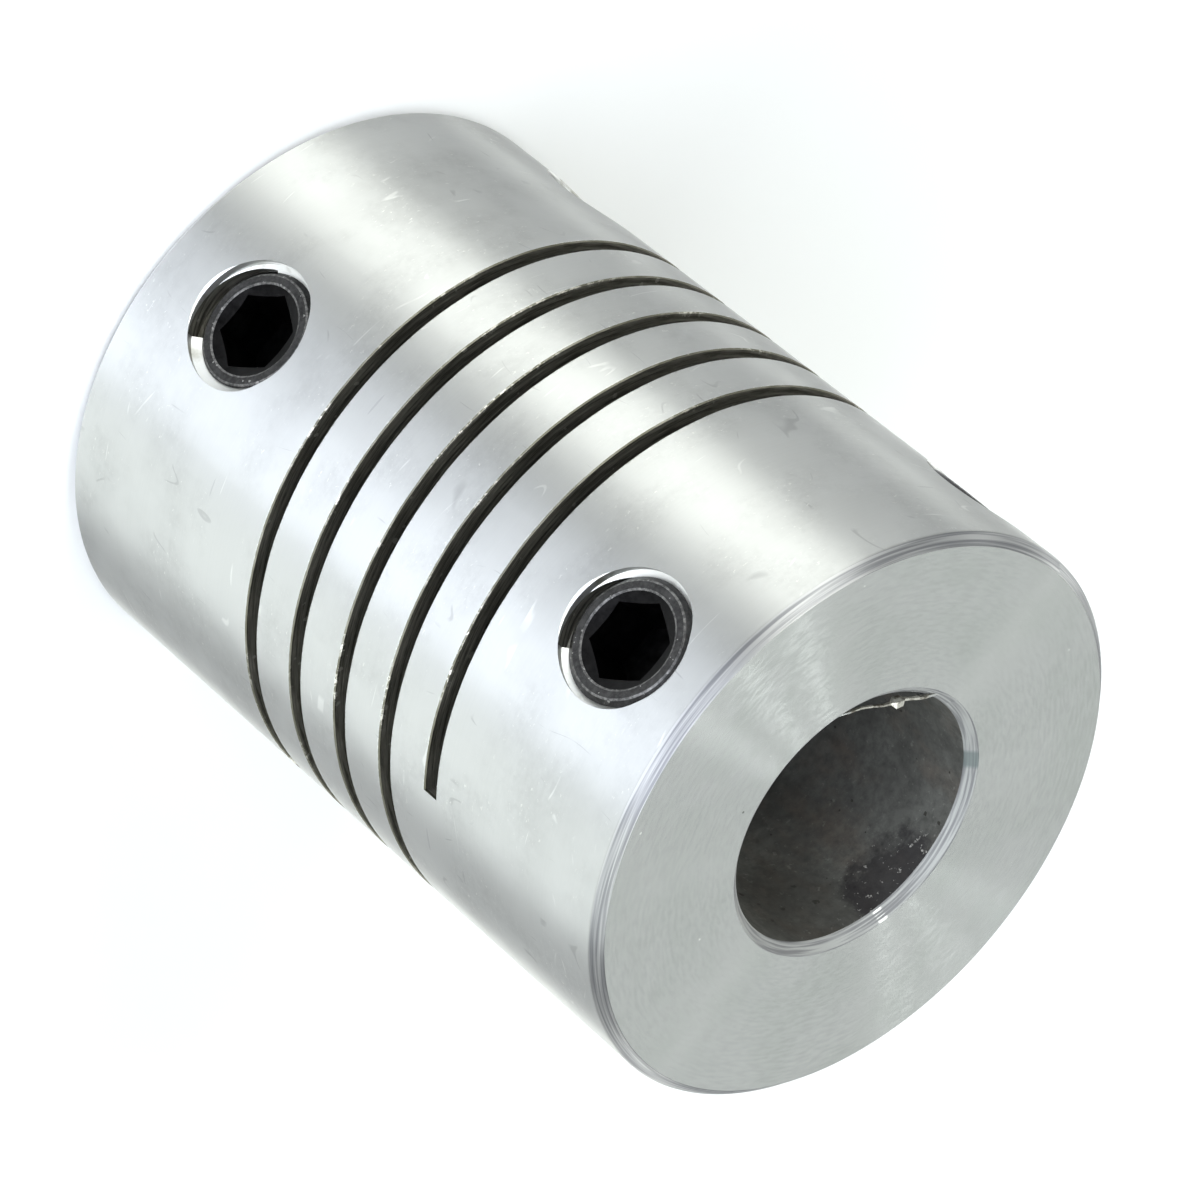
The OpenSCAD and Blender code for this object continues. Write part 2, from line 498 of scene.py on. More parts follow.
def hexagon_cutter():
    """The broached hexagon with a cone at its mouth, along the screw's own axis from its socket end."""
    corner_r = SOCKET_AF / 2 / math.cos(math.pi / HEXAGON_SIDES)
    bpy.ops.object.select_all(action="DESELECT")
    bpy.ops.mesh.primitive_cylinder_add(
        vertices=HEXAGON_SIDES, radius=corner_r, depth=2 * SOCKET_DEPTH, location=(0, 0, 0)
    )
    tool = bpy.context.object
    tool.rotation_euler = (0, 0, SOCKET_TURN)
    apply_place(tool)
    mouth_r, land = SOCKET_MOUTH_R, RUBBED_W / 2
    section = [
        (CONE_AXIS_R, -SOCKET_MOUTH_DEPTH), (mouth_r - land, -land), (mouth_r + land, 0),
        (mouth_r + 8 * land, 3 * land), (CONE_AXIS_R, 3 * land),
    ]
    cone = turned("cone", section, SCREW_SIDES)
    plug_axis(cone)
    cut(tool, cone, "UNION")
    return tool


def set_screw():
    """One set screw with its axis on Z and its socket end at the origin, cup point down."""
    rod = threaded_rod("set_screw", SCREW_CORE_R, SCREW_R, -SCREW_L, -HEAD_L / 2)
    rim_r = HEAD_R - HEAD_CHAMFER
    corners = [
        (SCREW_R + HEAD_CHAMFER, HEAD_L),
        (SCREW_R + HEAD_CHAMFER, -SCREW_L + TIP_CHAMFER + HEAD_CHAMFER),
        (SCREW_R - TIP_CHAMFER, -SCREW_L),
        (CUP_R, -SCREW_L),
        (AXIS_R, -SCREW_L + CUP_DEPTH),
        (AXIS_R, HEAD_L),
    ]
    envelope = turned("envelope", corners, SCREW_SIDES)
    plug_axis(envelope)
    cut(rod, envelope, "INTERSECT")
    head_section = [
        (rim_r - RUBBED_W / 2, 0), (rim_r + RUBBED_W / 2, -RUBBED_W / 2), (HEAD_R, -HEAD_CHAMFER),
        (HEAD_R, -HEAD_L), (AXIS_R, -HEAD_L), (AXIS_R, 0),
    ]
    head = turned("head", head_section, SCREW_SIDES)
    plug_axis(head)
    cut(rod, head, "UNION")
    cut(rod, hexagon_cutter())
    return rod


def plug_axis(obj):
    """Fills the fine hole that a turned shape leaves on its axis."""
    only(obj)
    bpy.ops.object.mode_set(mode="EDIT")
    mesh = bmesh.from_edit_mesh(obj.data)
    inner = min(math.hypot(v.co.x, v.co.y) for v in mesh.verts) * 1.5
    walls = [f for f in mesh.faces if all(math.hypot(v.co.x, v.co.y) < inner for v in f.verts)]
    bmesh.ops.delete(mesh, geom=walls, context="FACES_ONLY")
    loose = [e for e in mesh.edges if not e.link_faces]
    bmesh.ops.delete(mesh, geom=loose, context="EDGES")
    bmesh.update_edit_mesh(obj.data)
    bpy.ops.object.mode_set(mode="OBJECT")
    close_ends(obj)


def screw_finish(face):
    """Which finish a face of the model screw has. Narrow lands at its edges are rubbed bright."""
    radius, z = face.center.xy.length, face.center.z
    near = min(abs(radius - SOCKET_MOUTH_R), abs(radius - HEAD_R + HEAD_CHAMFER))
    if z > -RUBBED_W and near < RUBBED_W and LAND_LEAST < abs(face.normal.z) < LAND_MOST:
        return RUBBED
    # The socket's faces take a darker copy of the oxide, as painted shade
    if z > -SCREW_L / 2 - RUBBED_W and radius < SOCKET_MOUTH_R:
        return SOCKET
    return BLACK


def screw_place(node):
    """The turn and place that carry the model screw to a node's own hole."""
    low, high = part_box(node)
    middle = (low + high) / 2
    outwards = Vector((middle.x, middle.y, 0)).normalized()
    head = outwards * (middle.xy.length + SCREW_L / 2)
    turn = outwards.to_track_quat("Z", "Y").to_matrix().to_4x4()
    return Matrix.Translation((head.x, head.y, middle.z)) @ turn


def run_in_cutter(depth):
    """The start of the thread, a groove that sinks below the lip of the hole as it winds in."""
    top, low = depth - RUN_IN_TOP, depth - RUN_IN_TOP - RUN_IN_W
    slope = RUN_IN_W / 8
    section = [
        (RUN_IN_INNER_R, low), (RUN_IN_R, low + slope), (RUN_IN_R, top - slope), (RUN_IN_INNER_R, top),
        (RUN_IN_INNER_R, low),
    ]
    groove = profile_line("run_in", section)
    modify(
        groove, "SCREW", angle=RUN_IN_SWEEP, screw_offset=RUN_IN_DROP, steps=RUN_IN_STEPS,
        render_steps=RUN_IN_STEPS, use_merge_vertices=False,
    )
    close_ends(groove)
    groove.rotation_euler = (0, 0, RUN_IN_ANGLE)
    apply_place(groove)
    return groove


def hole_cutters(node):
    """The tap, the entry cut and the start of the thread for one screw hole."""
    place = screw_place(node)
    depth = BODY_R - place.translation.xy.length
    core_r, crest_r = SCREW_CORE_R + THREAD_CLEARANCE, SCREW_R + THREAD_CLEARANCE
    tap = threaded_rod("tap", core_r, crest_r, TAP_FLOOR - BODY_R, depth + TAP_OVERRUN)
    corners = [
        (AXIS_R, depth - TAP_START - ENTRY_TIP),
        (HOLE_R, depth - TAP_START + ENTRY_SHOULDER),
        (HOLE_R, depth - HOLE_COUNTERSINK),
        (HOLE_R + HOLE_COUNTERSINK + COUNTERSINK_OVERRUN, depth + COUNTERSINK_OVERRUN),
        (AXIS_R, depth + COUNTERSINK_OVERRUN),
    ]
    entry = turned("entry", corners, SCREW_SIDES)
    plug_axis(entry)
    tools = (tap, entry, run_in_cutter(depth))
    for tool in tools:
        tool.matrix_world = place
        apply_place(tool)
    return tools


def curled_chip():
    """The torn curl, extruded from point to point along its path."""
    points, sizes = [], []
    for degrees, radius, size in CHIP_PATH:
        angle = math.radians(degrees)
        points.append(Vector((radius * MM * math.cos(angle), radius * MM * math.sin(angle), CHIP_Z)))
        sizes.append(size)
    chord = (points[-1] - points[0]).normalized()
    bpy.ops.object.select_all(action="DESELECT")
    bpy.ops.mesh.primitive_cube_add(
        size=1, location=points[0], rotation=(0, 0, math.atan2(chord.y, chord.x))
    )
    chip = bpy.context.object
    chip.name = "curled_chip"
    chip.scale = (CHIP_THICK, CHIP_THICK, CHIP_W)
    apply_place(chip)
    bpy.ops.object.mode_set(mode="EDIT")
    bpy.ops.mesh.select_mode(type="FACE")
    mesh = bmesh.from_edit_mesh(chip.data)
    end = max(mesh.faces, key=lambda f: f.calc_center_median().dot(chord))
    for face in mesh.faces:
        face.select_set(face == end)
    bmesh.update_edit_mesh(chip.data)
    for i, (here, there) in enumerate(zip(points, points[1:])):
        curl = Vector((0, 0, CHIP_CURL * math.sin(CHIP_CURL_STEP * i)))
        bpy.ops.mesh.extrude_region_move(TRANSFORM_OT_translate={"value": there - here + curl})
        grow = sizes[i + 1] / sizes[i]
        bpy.ops.transform.resize(value=(grow, grow, grow))
    bpy.ops.mesh.select_mode(type="VERT")
    bpy.ops.object.mode_set(mode="OBJECT")
    return chip


def coupling_body():
    """The blank, drilled and tapped, then sawn, with the torn curl left on it."""
    body = turned_blank()
    for node in SCREWS:
        for tool in hole_cutters(node):
            cut(body, tool)
    cut(body, slot_cutter())
    cut(body, curled_chip(), "UNION")
    return body


def finish_of(face, holes):
    """Which finish a face of the body has."""
    where, normal = face.center, face.normal
    radius = where.xy.length
    outward = Vector((where.x, where.y, 0)).normalized().dot(normal)
    upright = abs(normal.z)
    at_end = min(where.z, BODY_L - where.z) < END_REACH
    near_rim = radius > BODY_R - RIM_REACH
    if near_rim and outward > FACING:
        return SIDE
    if at_end and radius < TOP_BORE_R - EDGE_BREAK and where.z > SHOULDER_Z:
        return CHIP
    if at_end and upright > FLAT:
        return END
    if at_end and upright > SLOPING:
        return RIM if near_rim else MOUTH
    if outward < -FACING and min(abs(radius - BOTTOM_BORE_R), abs(radius - TOP_BORE_R)) < BORE_REACH:
        return BORE
    if abs(where.z - SHOULDER_Z) < SHOULDER_REACH and upright > FACING and radius < TOP_BORE_R:
        return BORE
    for start, axis in holes:
        offset = where - start
        along = offset.dot(axis)
        reach = (offset - axis * along).length
        if along > 0 and reach < HOLE_R + 2 * HOLE_COUNTERSINK:
            # Faces of the run-in gap, past the hole wall, take the slot's dark finish as painted shade
            past_wall = reach > HOLE_R + EDGE_BREAK and along < BODY_R - HOLE_COUNTERSINK
            return SLOT if past_wall else HOLE
    return SLOT


def hole_lines():
    """A point on the body's axis and the direction outwards, for each screw hole."""
    lines = []
    for node in SCREWS:
        middle = sum(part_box(node), Vector()) / 2
        lines.append((Vector((0, 0, middle.z)), Vector((middle.x, middle.y, 0)).normalized()))
    return lines


def give_finishes(obj, materials, choose):
    """Fills an object's material slots, chooses one for each face, and shades its curves smooth."""
    obj.data.materials.clear()
    for material in materials:
        obj.data.materials.append(material)
    for face in obj.data.polygons:
        face.material_index = choose(face)
    only(obj)
    bpy.ops.object.shade_smooth_by_angle(angle=math.radians(SMOOTH_ANGLE))


def place_camera():
    """Sets the camera where the photograph was taken from."""
    azimuth, elevation = math.radians(CAMERA_AZIMUTH), math.radians(CAMERA_ELEVATION)
    roll = math.radians(CAMERA_ROLL)
    back = Vector((
        math.sin(azimuth) * math.cos(elevation),
        -math.cos(azimuth) * math.cos(elevation),
        math.sin(elevation),
    ))
    level = Vector((math.cos(azimuth), math.sin(azimuth), 0))
    upright = back.cross(level)
    right = level * math.cos(roll) + upright * math.sin(roll)
    up = upright * math.cos(roll) - level * math.sin(roll)
    middle = Vector((0, 0, BODY_L / 2))
    place = middle + back * CAMERA_DISTANCE + right * CAMERA_RIGHT + up * CAMERA_UP
    data = bpy.data.cameras.new("camera")
    data.sensor_width = SENSOR
    data.lens = FOCAL_PIXELS / IMAGE_PIXELS * SENSOR
    data.clip_start = NEAREST_SEEN
    data.clip_end = FARTHEST_SEEN
    camera = bpy.data.objects.new("camera", data)
    bpy.context.scene.collection.objects.link(camera)
    turn = Matrix((right, up, back)).transposed().to_4x4()
    camera.matrix_world = Matrix.Translation(place) @ turn
    bpy.context.scene.camera = camera


def softbox(name, azimuth, breadth, low, high, level, colour):
    """An area lamp on a ring round the object, facing it, whose brightness is its level."""
    azimuth, middle = math.radians(azimuth), math.radians((low + high) / 2)
    towards = Vector((
        math.cos(azimuth) * math.cos(middle), math.sin(azimuth) * math.cos(middle), math.sin(middle)
    ))
    data = bpy.data.lights.new(name, "AREA")
    data.shape = "RECTANGLE"
    data.size = 2 * LAMP_DISTANCE * math.tan(math.radians(breadth / 2)) * math.cos(middle)
    data.size_y = 2 * LAMP_DISTANCE * math.tan(math.radians((high - low) / 2))
    data.energy = level * math.pi * data.size * data.size_y
    data.color = colour
    lamp = bpy.data.objects.new(name, data)
    bpy.context.scene.collection.objects.link(lamp)
    lamp.location = towards * LAMP_DISTANCE
    lamp.rotation_euler = towards.to_track_quat("Z", "Y").to_euler()


def pale_floor():
    """A plain pale floor that gives no reflections."""
    bpy.ops.object.select_all(action="DESELECT")
    bpy.ops.mesh.primitive_circle_add(vertices=FLOOR_SIDES, radius=FLOOR_R, fill_type="NGON")
    floor = bpy.context.object
    floor.name = "floor"
    material = bpy.data.materials.new("pale_floor")
    material.use_nodes = True
    shader = material.node_tree.nodes["Principled BSDF"]
    shader.inputs["Base Color"].default_value = (*FLOOR_WHITE, 1)
    shader.inputs["Roughness"].default_value = 1
    shader.inputs["Specular IOR Level"].default_value = 0
    floor.data.materials.append(material)


def studio_tent():
    """A dim tent with a pale horizon, so that low views show a pale background too."""
    world = bpy.data.worlds.new("studio_tent")
    bpy.context.scene.world = world
    world.use_nodes = True
    nodes, links = world.node_tree.nodes, world.node_tree.links
    place = nodes.new("ShaderNodeTexCoord")
    split = nodes.new("ShaderNodeSeparateXYZ")
    ramp = nodes.new("ShaderNodeValToRGB")
    links.new(place.outputs["Generated"], split.inputs[0])
    links.new(split.outputs["Z"], ramp.inputs[0])
    links.new(ramp.outputs["Color"], nodes["Background"].inputs["Color"])
    elements = ramp.color_ramp.elements
    while len(elements) < len(TENT_LEVELS):
        elements.new(0.5)
    for element, (position, level) in zip(elements, TENT_LEVELS):
        element.position = position
        element.color = (level, level, level, 1)
    nodes["Background"].inputs["Strength"].default_value = 1


def add(tree, kind, **settings):
    """Adds a node and sets its own settings."""
    made = tree.nodes.new("ShaderNode" + kind)
    for key, value in settings.items():
        setattr(made, key, value)
    return made


def fill_socket(tree, socket, value):
    """Fills a socket from another socket, a colour or a plain value."""
    if isinstance(value, bpy.types.NodeSocket):
        tree.links.new(value, socket)
    elif socket.type == "RGBA":
        socket.default_value = (*value, 1)
    else:
        socket.default_value = value


def feed(tree, target, *values):
    """Fills a node's sockets in order and gives its first output."""
    for socket, value in zip(target.inputs, values):
        fill_socket(tree, socket, value)
    return target.outputs[0]


def calc(tree, operation, *values):
    """One step of arithmetic on values and sockets."""
    return feed(tree, add(tree, "Math", operation=operation), *values)


def times(tree, first, second):
    return calc(tree, "MULTIPLY", first, second)


def spread(tree, value, low, high, to_low=0.0, to_high=1.0):
    """Maps a value from one range to another and holds it at the ends."""
    return feed(tree, add(tree, "MapRange"), value, low, high, to_low, to_high)


def stretched(tree, vector, scale):
    """Coordinates multiplied by a scale along each axis."""
    return feed(tree, add(tree, "VectorMath", operation="MULTIPLY"), vector, scale)


def noise_of(tree, vector, scale, detail=2.0, roughness=0.5):
    """Cloudy noise round a middle level of 0.5."""
    made = add(tree, "TexNoise")
    for key, value in {"Vector": vector, "Scale": scale, "Detail": detail, "Roughness": roughness}.items():
        fill_socket(tree, made.inputs[key], value)
    return made.outputs["Fac"]


def blend_colours(tree, share, first, second):
    """Goes from the first colour to the second as the share rises from 0 to 1."""
    made = add(tree, "Mix", data_type="RGBA")
    for number, value in zip(MIX_SOCKETS, (share, first, second)):
        fill_socket(tree, made.inputs[number], value)
    return made.outputs[MIX_RESULT]


def coated(tree, colour, *coats):
    """Lays coats over a colour in turn, each one a mask, how strongly it covers and its colour."""
    for mask, strength, over in coats:
        if strength < 1:
            mask = times(tree, mask, strength)
        colour = blend_colours(tree, mask, colour, over)
    return colour


def new_group(name, inputs, outputs):
    """Starts a shared node group with named inputs and outputs."""
    group = bpy.data.node_groups.new(name, "ShaderNodeTree")
    for title, kind, value in inputs:
        socket = group.interface.new_socket(name=title, in_out="INPUT", socket_type="NodeSocket" + kind)
        if value is not None:
            socket.default_value = value
    for title in outputs:
        group.interface.new_socket(name=title, in_out="OUTPUT", socket_type="NodeSocketFloat")
    return group, group.nodes.new("NodeGroupInput"), group.nodes.new("NodeGroupOutput")


def tool_marks():
    """Fine grooves that a lathe tool leaves at each step of its travel."""
    group, given, result = new_group(
        "tool_marks", [("Travel", "Float", 0.0), ("Pitch mm", "Float", 0.1)], ["Groove"]
    )
    pitch = times(group, given.outputs["Pitch mm"], MM)
    marks = add(group, "TexNoise", noise_dimensions="1D")
    along = calc(group, "DIVIDE", given.outputs["Travel"], pitch)
    for key, value in {"W": along, "Scale": 1, "Detail": 3}.items():
        fill_socket(group, marks.inputs[key], value)
    group.links.new(marks.outputs["Fac"], result.inputs["Groove"])
    return group


def speckle():
    """Small spots of uneven size, on a share of the cells of a grid."""
    inputs = [
        ("Vector", "Vector", None), ("Size mm", "Float", 0.3), ("Share", "Float", 0.2),
        ("Spread mm", "Float", 1.0),
    ]
    group, given, result = new_group("speckle", inputs, ["Mask"])
    scale = calc(group, "DIVIDE", 1 / MM, given.outputs["Spread mm"])
    cells = add(group, "TexVoronoi")
    group.links.new(given.outputs["Vector"], cells.inputs["Vector"])
    group.links.new(scale, cells.inputs["Scale"])
    chance = add(group, "SeparateColor")
    group.links.new(cells.outputs["Color"], chance.inputs[0])
    chosen = calc(group, "LESS_THAN", chance.outputs[0], given.outputs["Share"])
    reach = calc(group, "DIVIDE", given.outputs["Size mm"], given.outputs["Spread mm"])
    ragged = noise_of(group, given.outputs["Vector"], times(group, scale, 3.0), detail=3.0)
    limit = times(group, reach, times(group, chance.outputs[1], ragged))
    inside = calc(group, "LESS_THAN", cells.outputs["Distance"], limit)
    group.links.new(times(group, inside, chosen), result.inputs["Mask"])
    return group


def smudge():
    """Cloudy unevenness, from clean at 0 to stained at 1."""
    inputs = [
        ("Vector", "Vector", None), ("Scale per mm", "Float", 0.2), ("Clean", "Float", 0.4),
        ("Stained", "Float", 0.7),
    ]
    group, given, result = new_group("smudge", inputs, ["Mask"])
    scale = calc(group, "DIVIDE", given.outputs["Scale per mm"], MM)
    cloud = noise_of(group, given.outputs["Vector"], scale, detail=4.0, roughness=0.6)
    mask = spread(group, cloud, given.outputs["Clean"], given.outputs["Stained"])
    group.links.new(mask, result.inputs["Mask"])
    return group


def slot_edge():
    """How near a point on the outside lies to the lips of the helical slot."""
    group, given, result = new_group(
        "slot_edge", [("Vector", "Vector", None), ("Reach mm", "Float", 0.2)], ["Upper lip", "Lower lip"]
    )
    place = add(group, "SeparateXYZ")
    group.links.new(given.outputs["Vector"], place.inputs[0])
    x, y, z = place.outputs
    helix = times(group, calc(group, "ARCTAN2", y, x), SLOT_PITCH / math.tau)
    zero = SLOT_TOP_Z - SLOT_PITCH * math.radians(SLOT_TOP_ANGLE) / math.tau
    offset = calc(group, "SUBTRACT", calc(group, "SUBTRACT", z, helix), zero)
    wrapped = calc(group, "WRAP", offset, SLOT_PITCH / 2, -SLOT_PITCH / 2)
    line = calc(group, "SUBTRACT", z, wrapped)
    low = calc(group, "GREATER_THAN", line, SLOT_BOTTOM_Z)
    high = calc(group, "LESS_THAN", line, SLOT_TOP_Z)
    beside = times(group, low, high)
    reach = times(group, given.outputs["Reach mm"], MM)
    for output, side in (("Upper lip", 1), ("Lower lip", -1)):
        gap = calc(group, "SUBTRACT", times(group, wrapped, side), SLOT_W / 2)
        near = calc(group, "SUBTRACT", 1.0, calc(group, "DIVIDE", calc(group, "ABSOLUTE", gap), reach))
        near = times(group, calc(group, "MAXIMUM", near, 0.0), beside)
        group.links.new(near, result.inputs[output])
    return group


def use_group(tree, name, **values):
    """Places a shared group and fills its inputs by name, with spaces written as underscores."""
    made = tree.nodes.new("ShaderNodeGroup")
    made.node_tree = GROUPS[name]
    for key, value in values.items():
        fill_socket(tree, made.inputs[key.replace("_", " ")], value)
    return made.outputs


def smudged(tree, vector, per_mm, clean, stained):
    """How stained a point is."""
    return use_group(
        tree, "smudge", Vector=vector, Scale_per_mm=per_mm, Clean=clean, Stained=stained
    )[0]


def speckled(tree, vector, size_mm, share, spread_mm):
    """1 on small spots and 0 between them."""
    return use_group(
        tree, "speckle", Vector=vector, Size_mm=size_mm, Share=share, Spread_mm=spread_mm
    )[0]


def new_metal(name, anisotropy=0.0):
    """A metal material, its shader and its object coordinates."""
    material = bpy.data.materials.new(name)
    material.use_nodes = True
    tree = material.node_tree
    shader = tree.nodes["Principled BSDF"]
    shader.inputs["Metallic"].default_value = 1
    if anisotropy:
        shader.inputs["Anisotropic"].default_value = anisotropy
        shader.inputs["Anisotropic Rotation"].default_value = QUARTER_TURN
        tangent = add(tree, "Tangent", direction_type="RADIAL", axis="Z")
        tree.links.new(tangent.outputs[0], shader.inputs["Tangent"])
    place = add(tree, "TexCoord").outputs["Object"]
    return material, tree, shader, place


def finish_metal(tree, shader, colour, roughness, height, strength, distance_mm):
    """Gives a metal its colour, its roughness and the relief of its marks."""
    fill_socket(tree, shader.inputs["Base Color"], colour)
    fill_socket(tree, shader.inputs["Roughness"], roughness)
    bump = add(tree, "Bump")
    for key, value in {"Strength": strength, "Distance": distance_mm * MM, "Height": height}.items():
        fill_socket(tree, bump.inputs[key], value)
    tree.links.new(bump.outputs["Normal"], shader.inputs["Normal"])


def polar(tree, vector):
    """Radius, angle in radians and height of a point."""
    parts = add(tree, "SeparateXYZ")
    tree.links.new(vector, parts.inputs[0])
    x, y, z = parts.outputs
    radius = calc(tree, "SQRT", calc(tree, "ADD", times(tree, x, x), times(tree, y, y)))
    return radius, calc(tree, "ARCTAN2", y, x), z


def wound(tree, radius, angle, across, along):
    """Coordinates of marks that run round the axis: how fast they change across and along them."""
    return feed(
        tree, add(tree, "CombineXYZ"), times(tree, radius, across), times(tree, angle, along * MM), 0.0
    )


def window(tree, value, middle, half, soft):
    """1 where a value lies within half of the middle, falling to 0 over the soft edge."""
    away = calc(tree, "ABSOLUTE", calc(tree, "SUBTRACT", value, middle))
    return spread(tree, away, half, half + soft, 1.0, 0.0)


def hairlines(tree, vector, scale, stretch):
    """Short curved scratches, where a cloud crosses its middle level and another cloud lets it show."""
    drawn = noise_of(tree, stretched(tree, vector, stretch), scale, detail=1.0)
    line = window(tree, drawn, 0.5, 0.003, 0.004)
    shown = spread(tree, noise_of(tree, vector, scale * 1.3, detail=1.0), 0.6, 0.68)
    return times(tree, line, shown)


def turned_side_metal():
    """The turned side: fine lathe grooves, haze, nicks and scratches, and the slot's worn lips."""
    material, tree, shader, place = new_metal("turned_side", 1.0)
    _, angle, z = polar(tree, place)
    flat = feed(tree, add(tree, "CombineXYZ"), times(tree, angle, BODY_R), z, 0.0)
    groove = use_group(tree, "tool_marks", Travel=z, Pitch_mm=0.07)[0]
    haze = smudged(tree, place, 0.22, 0.45, 0.75)
    scratches = speckled(tree, stretched(tree, flat, (0.1, 1.0, 1.0)), 0.1, 0.16, 0.5)
    handled = smudged(tree, place, 0.45, 0.46, 0.62)
    nicks = noise_of(tree, stretched(tree, flat, (0.6, 1.0, 1.0)), 6500.0, detail=3.0, roughness=0.75)
    nicked = times(tree, spread(tree, nicks, 0.62, 0.69), handled)
    lips = use_group(tree, "slot_edge", Vector=place, Reach_mm=0.1)
    torn = spread(tree, noise_of(tree, flat, 420.0, detail=1.0), 0.42, 0.6)
    fine = noise_of(tree, stretched(tree, flat, (1.0, 2.0, 1.0)), 7000.0, detail=2.0, roughness=0.6)
    fine = spread(tree, fine, 0.5, 0.6)
    worn = times(tree, times(tree, lips["Lower lip"], torn), fine)
    worn_edge = calc(tree, "MINIMUM", times(tree, worn, 2.0), 1.0)
    grain = noise_of(tree, stretched(tree, flat, (0.8, 1.0, 1.0)), 3400.0, detail=3.0, roughness=0.75)
    grain = times(tree, spread(tree, grain, 0.38, 0.62, 0.0, 0.2), handled)
    colour = coated(
        tree, ALUMINIUM,
        (haze, 1.0, ALUMINIUM_DULL),
        (spread(tree, groove, 0.35, 0.65, 0.0, 0.03), 1.0, GROOVE_GREY),
        (scratches, 0.3, SCRATCH_GREY),
        (times(tree, lips["Upper lip"], fine), 0.7, BURR_BROWN),
        (worn_edge, 1.0, WORN_WHITE),
        (grain, 1.0, GRAIN_GREY),
        (hairlines(tree, flat, 640.0, (0.25, 1.0, 1.0)), 0.45, HAIRLINE_PALE),
        (hairlines(tree, flat, 720.0, (1.0, 0.3, 1.0)), 0.3, HAIRLINE_DARK),
        (nicked, 0.6, NICK_WHITE),
    )
    rough = noise_of(tree, stretched(tree, flat, (0.25, 1.0, 1.0)), 500.0, detail=3.0)
    height = calc(tree, "ADD", groove, times(tree, nicked, 2.0))
    height = calc(tree, "SUBTRACT", height, scratches)
    height = calc(tree, "ADD", height, times(tree, worn, 4.0))
    finish_metal(tree, shader, colour, spread(tree, rough, 0.3, 0.7, 0.53, 0.57), height, 0.25, 0.004)
    return material


def faced_end_metal():
    """The faced ends, whose grooves are partly burnished, so that a lamp catches some of them only, with
    small white specks painted on as highlights.
    """
    material, tree, shader, place = new_metal("faced_end", 1.0)
    radius, angle, _ = polar(tree, place)
    groove = noise_of(tree, wound(tree, radius, angle, 9.0, 14.0), 1000.0, detail=3.0, roughness=0.6)
    pits = speckled(tree, place, 0.2, 0.08, 0.8)
    # Painted highlight: small white specks that stand in for glinting grooves
    painted_glints = speckled(tree, stretched(tree, place, (1.3, 1.3, 1.0)), 0.12, 0.12, 0.6)
    colour = coated(
        tree, ALUMINIUM,
        (smudged(tree, place, 0.5, 0.4, 0.8), 1.0, FACE_DULL),
        (spread(tree, groove, 0.4, 0.65, 0.0, 0.06), 1.0, FACE_GROOVE),
        (pits, 0.8, PIT_DARK),
        (painted_glints, 1.0, PAINTED_GLINT_WHITE),
    )
    rough = spread(tree, groove, 0.4, 0.6, 0.14, 0.215)
    finish_metal(tree, shader, colour, rough, calc(tree, "SUBTRACT", groove, pits), 0.2, 0.002)
    return material


def tool_lines(tree, radius, angle):
    """Coarse tool lines round a chamfer, broken here and there."""
    return noise_of(tree, wound(tree, radius, angle, 18.0, 2.0), 1000.0, detail=2.0)


def rim_metal():
    """The turned chamfers of both outside rims."""
    material, tree, shader, place = new_metal("turned_rim", 1.0)
    radius, angle, _ = polar(tree, place)
    line = tool_lines(tree, radius, angle)
    colour = blend_colours(tree, spread(tree, line, 0.4, 0.6), RIM_PALE, RIM_DARK)
    finish_metal(tree, shader, colour, 0.55, line, 0.5, 0.006)
    return material


def mouth_metal():
    """The matt chamfers at the mouths of the bores, with a darker patch and a bright glint painted at one
    angle as painted highlight.
    """
    material, tree, shader, place = new_metal("bore_mouth")
    radius, angle, _ = polar(tree, place)
    line = tool_lines(tree, radius, angle)
    # A darker patch at 143° round the chamfer
    darker_patch = window(tree, angle, math.radians(143), math.radians(3), math.radians(2))
    # Painted highlight: a bright glint at 67° round the chamfer
    painted_glint = window(tree, angle, math.radians(67), math.radians(1.5), math.radians(1))
    colour = coated(
        tree, MOUTH_PALE,
        (spread(tree, line, 0.4, 0.6), 1.0, MOUTH_DARK),
        (darker_patch, 0.7, MOUTH_PATCH_DARK),
        (times(tree, painted_glint, spread(tree, line, 0.55, 0.45)), 1.0, MOUTH_GLINT_PAINT),
    )
    finish_metal(tree, shader, colour, 0.75, line, 0.4, 0.006)
    return material


def bore_patch(tree, angle, z, middle, half, deep, ragged):
    """1 on a patch of the bore below its mouth, given in degrees round it and millimetres down."""
    down = calc(tree, "DIVIDE", calc(tree, "SUBTRACT", BODY_L, z), deep * MM)
    beside = calc(tree, "DIVIDE", calc(tree, "SUBTRACT", angle, math.radians(middle)), math.radians(half))
    away = calc(tree, "ADD", times(tree, down, down), times(tree, beside, beside))
    return spread(tree, calc(tree, "ADD", away, ragged), 0.6, 1.3, 1.0, 0.0)


